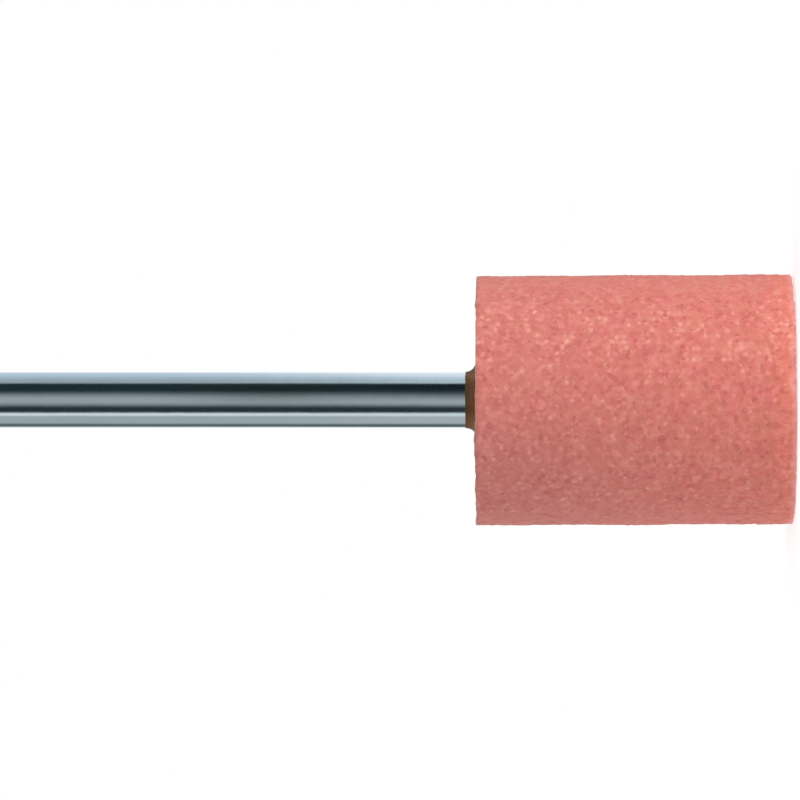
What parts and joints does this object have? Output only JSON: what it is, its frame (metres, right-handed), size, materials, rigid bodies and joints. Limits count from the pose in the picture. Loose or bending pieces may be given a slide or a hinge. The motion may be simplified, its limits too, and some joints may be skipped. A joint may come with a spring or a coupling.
{
  "type": "mounted point",
  "caption": "Cylindrical mounted point: a pink bonded-abrasive head cemented on to a straight steel shank, for grinding in a die grinder or rotary tool.",
  "frame": {"origin": "centre of the head's flat free end, on the tool's axis, where the part stands on its head", "axes": "+Z along the tool's axis, from the free end of the head towards the free end of the shank; X and Y are alike"},
  "size_m": [0.0136, 0.0134, 0.0472],
  "materials": {
    "abrasive": "matte",
    "cement": "satin",
    "steel": "polished"
  },
  "bodies": {
    "root": {"abrasive_head": "abrasive", "cement_joint": "cement", "shank": "steel"}
  },
  "joints": []
}
